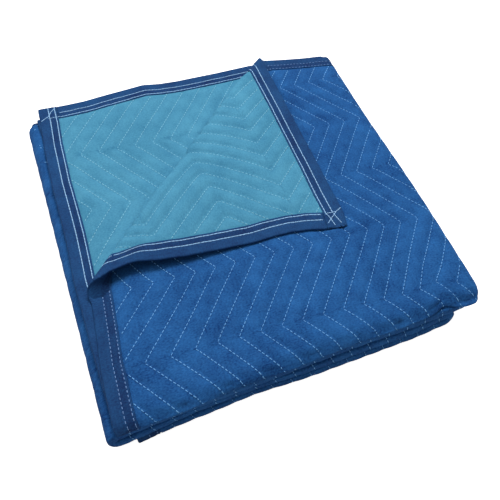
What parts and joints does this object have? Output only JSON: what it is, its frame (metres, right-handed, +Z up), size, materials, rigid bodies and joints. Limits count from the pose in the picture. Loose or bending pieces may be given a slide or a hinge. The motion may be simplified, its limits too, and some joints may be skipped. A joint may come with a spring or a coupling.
{
  "type": "moving blanket",
  "caption": "Quilted two-tone blanket with bound edges, folded into a square stack with one corner turned back; it pads and wraps furniture while it is moved.",
  "frame": {"origin": "centre of the folded stack's box, on the surface that it lies on", "axes": "+Z up through the layers, +Y towards the far creases, which is the stack's longer way, and +X across the stack"},
  "size_m": [0.5035, 0.5325, 0.0693],
  "materials": {
    "face_cloth": "matt woven cloth in mid blue, quilted in zigzag lines with light blue thread",
    "back_cloth": "matt woven cloth in light blue, quilted in zigzag lines with pale thread",
    "binding_tape": "matt finely woven tape in navy, folded over the edge and sewn down in two rows"
  },
  "bodies": {
    "root": {"face_panel": "face_cloth", "back_panel": "back_cloth", "binding_left": "binding_tape", "binding_right": "binding_tape", "binding_start": "binding_tape", "binding_finish": "binding_tape"}
  },
  "joints": []
}
